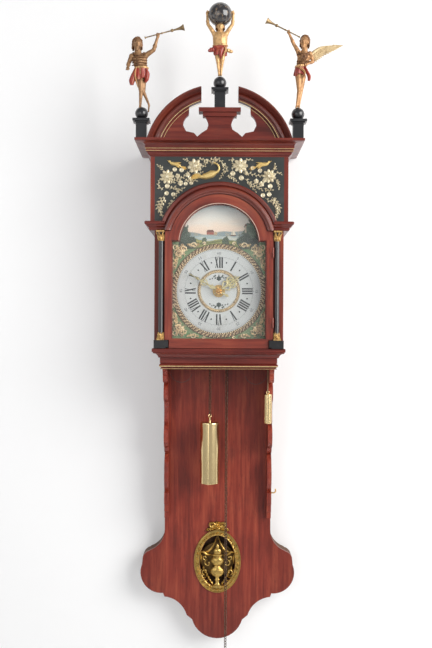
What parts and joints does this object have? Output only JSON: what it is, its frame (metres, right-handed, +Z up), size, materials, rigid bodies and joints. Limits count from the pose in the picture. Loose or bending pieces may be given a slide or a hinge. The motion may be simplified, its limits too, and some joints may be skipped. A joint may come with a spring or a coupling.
{
  "type": "frisian tail clock",
  "caption": "Wall clock with an arched hood, columns, a broken-arch pediment with gilt figures, a painted dial, brass weights on chain and cord, and a long shaped tail.",
  "frame": {"origin": "Centre of the hanging hole, on the plane of the wall.", "axes": "+X is the clock's right as seen from the front, +Y goes into the wall, +Z is up. The front faces -Y."},
  "size_m": [0.521, 0.237, 1.6051],
  "materials": {
    "mahogany": "polished mahogany",
    "inner_wood": "plain stained wood",
    "ebony": "black polished wood",
    "gilt": "gilt, slightly worn",
    "brass": "polished brass",
    "iron": "dark forged iron",
    "chain": "dark steel links",
    "cord": "twisted hemp",
    "dial_paint": "green oil paint",
    "chapter_white": "white enamel paint",
    "globe_paint": "black paint with gilt marks",
    "glass": "clear pane"
  },
  "bodies": {
    "case": {"backboard": "inner_wood", "hanging_plate": "iron", "tail_rim": "inner_wood", "tail_front_board": "mahogany", "tail_ears": "mahogany", "tail_brackets": "mahogany", "seat_board": "inner_wood", "waist_moulding": "mahogany", "tail_ornament": "gilt", "winding_hook": "brass", "movement_plates": "iron", "movement_pillars": "brass", "movement_bars": "iron", "pendulum_cock": "brass", "bell_stand": "iron", "bell": "brass", "alarm_frame": "iron", "dial_plate": "dial_paint", "chapter_disc": "chapter_white", "dial_mounts": "gilt", "chain_over_sprocket": "chain"},
    "minute": {"minute_hand": "gilt"},
    "hour": {"hour_hand": "gilt"},
    "alarm_dial": {"alarm_disc": "brass"},
    "motion": {"motion_wheel": "brass"},
    "great": {"great_wheel": "brass"},
    "centre": {"centre_wheel": "brass"},
    "third": {"third_wheel": "brass"},
    "escape": {"escape_wheel": "brass"},
    "anchor": {"anchor": "iron"},
    "pendulum": {"pendulum_rod": "brass", "pendulum_bob": "brass"},
    "weight": {"main_weight": "brass", "main_chain": "chain"},
    "chain_end": {"chain_ring": "brass", "free_chain": "chain"},
    "alarm_drum": {"alarm_drum": "brass"},
    "alarm_weight": {"alarm_weight": "brass", "alarm_cord": "cord"},
    "hammer": {"alarm_hammer": "iron"},
    "hood": {"hood_sides": "mahogany", "hood_roof": "inner_wood", "hood_front_frame": "mahogany", "frieze_panel": "ebony", "cornice": "mahogany", "arch_moulding": "mahogany", "imposts": "mahogany", "pediment_board": "mahogany", "pediment_arches": "mahogany", "pedestals": "ebony", "atlas_figure": "gilt", "globe": "globe_paint", "trumpeter_left": "gilt", "trumpeter_right": "gilt", "trumpets": "gilt", "columns": "ebony", "column_mounts": "gilt", "door_hinges": "brass"},
    "door": {"door_frame": "mahogany", "door_glass": "glass"}
  },
  "joints": [
    {"name": "hood_slide", "type": "slide", "parent": "case", "child": "hood", "axis": [0, -1, 0], "range_m": [0, 0.2]},
    {"name": "door_swing", "type": "hinge", "parent": "hood", "child": "door", "pos_m": [0.1292, -0.2064, -0.25], "axis": [0, 0, 1], "range_deg": [0, 110]},
    {"name": "minute_turn", "type": "hinge", "parent": "case", "child": "minute", "pos_m": [0, -0.177, -0.25], "axis": [0, 1, 0], "continuous": true},
    {"name": "hour_turn", "type": "hinge", "parent": "case", "child": "hour", "pos_m": [0, -0.174, -0.25], "axis": [0, 1, 0], "continuous": true},
    {"name": "motion_turn", "type": "hinge", "parent": "case", "child": "motion", "pos_m": [0, -0.154, -0.282], "axis": [0, 1, 0], "continuous": true},
    {"name": "alarm_set", "type": "hinge", "parent": "hour", "child": "alarm_dial", "pos_m": [0, -0.171, -0.25], "axis": [0, 1, 0], "continuous": true},
    {"name": "weight_drop", "type": "slide", "parent": "case", "child": "weight", "axis": [0, 0, 1], "range_m": [-0.7, 0.09], "deforming": ["main_chain"]},
    {"name": "chain_end_rise", "type": "slide", "parent": "case", "child": "chain_end", "axis": [0, 0, 1], "range_m": [-0.09, 0.7], "deforming": ["free_chain"]},
    {"name": "great_turn", "type": "hinge", "parent": "case", "child": "great", "pos_m": [0, -0.105, -0.2968], "axis": [0, 1, 0], "continuous": true},
    {"name": "centre_turn", "type": "hinge", "parent": "case", "child": "centre", "pos_m": [0, -0.11, -0.25], "axis": [0, 1, 0], "continuous": true},
    {"name": "third_turn", "type": "hinge", "parent": "case", "child": "third", "pos_m": [0, -0.125, -0.2212], "axis": [0, 1, 0], "continuous": true},
    {"name": "escape_turn", "type": "hinge", "parent": "case", "child": "escape", "pos_m": [0, -0.09, -0.19775], "axis": [0, 1, 0], "continuous": true},
    {"name": "pendulum_swing", "type": "hinge", "parent": "case", "child": "pendulum", "pos_m": [0, -0.027, -0.172], "axis": [0, 1, 0], "range_deg": [-3, 3]},
    {"name": "anchor_rock", "type": "hinge", "parent": "case", "child": "anchor", "pos_m": [0, -0.08, -0.172], "axis": [0, 1, 0], "range_deg": [-3.2, 3.2]},
    {"name": "alarm_weight_drop", "type": "slide", "parent": "case", "child": "alarm_weight", "axis": [0, 0, 1], "range_m": [-0.6, 0.015], "deforming": ["alarm_cord"]},
    {"name": "alarm_drum_turn", "type": "hinge", "parent": "case", "child": "alarm_drum", "pos_m": [0.1001, -0.15, -0.33], "axis": [0, 1, 0], "continuous": true},
    {"name": "hammer_strike", "type": "hinge", "parent": "case", "child": "hammer", "pos_m": [0.045, -0.105, -0.146], "axis": [0, 1, 0], "range_deg": [-25, 0], "stiffness_Nm_per_rad": 0.02}
  ],
  "couplings": [
    {"joint": "hour_turn", "follows": "minute_turn", "ratio": 0.083333},
    {"joint": "motion_turn", "follows": "minute_turn", "ratio": -0.33333},
    {"joint": "chain_end_rise", "follows": "weight_drop", "ratio": -1},
    {"joint": "great_turn", "follows": "weight_drop", "rad_per_m": 48.78},
    {"joint": "centre_turn", "follows": "weight_drop", "rad_per_m": -146.34},
    {"joint": "escape_turn", "follows": "third_turn", "ratio": -8.5714},
    {"joint": "anchor_rock", "follows": "pendulum_swing", "ratio": 1},
    {"joint": "alarm_drum_turn", "follows": "alarm_weight_drop", "rad_per_m": -47.85}
  ]
}
